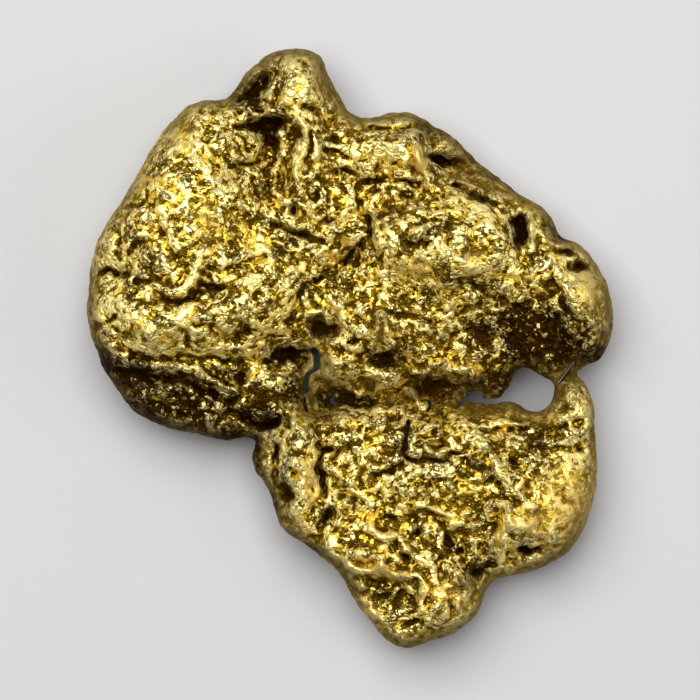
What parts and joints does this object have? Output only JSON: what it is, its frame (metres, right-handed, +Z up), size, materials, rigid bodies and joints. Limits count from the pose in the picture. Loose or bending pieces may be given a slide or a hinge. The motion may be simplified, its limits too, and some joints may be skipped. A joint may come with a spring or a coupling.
{
  "type": "gold nugget",
  "caption": "Irregular flattened lump of native gold with a crumpled, folded surface, lobed edges and a gap through its waist, lying flat on its back.",
  "frame": {"origin": "under the middle of the nugget's bounding box, on the surface it rests on", "axes": "+Z up out of the crumpled face, +Y along the long side towards the narrow knob, +X across towards the side with the gap"},
  "size_m": [0.0236, 0.027, 0.0067],
  "materials": {
    "native_gold": "crumpled rich yellow metal with a satin sheen, worn smooth along the edges, with dark brown iron stain in its hollows"
  },
  "bodies": {
    "root": {"nugget": "native_gold"}
  },
  "joints": []
}
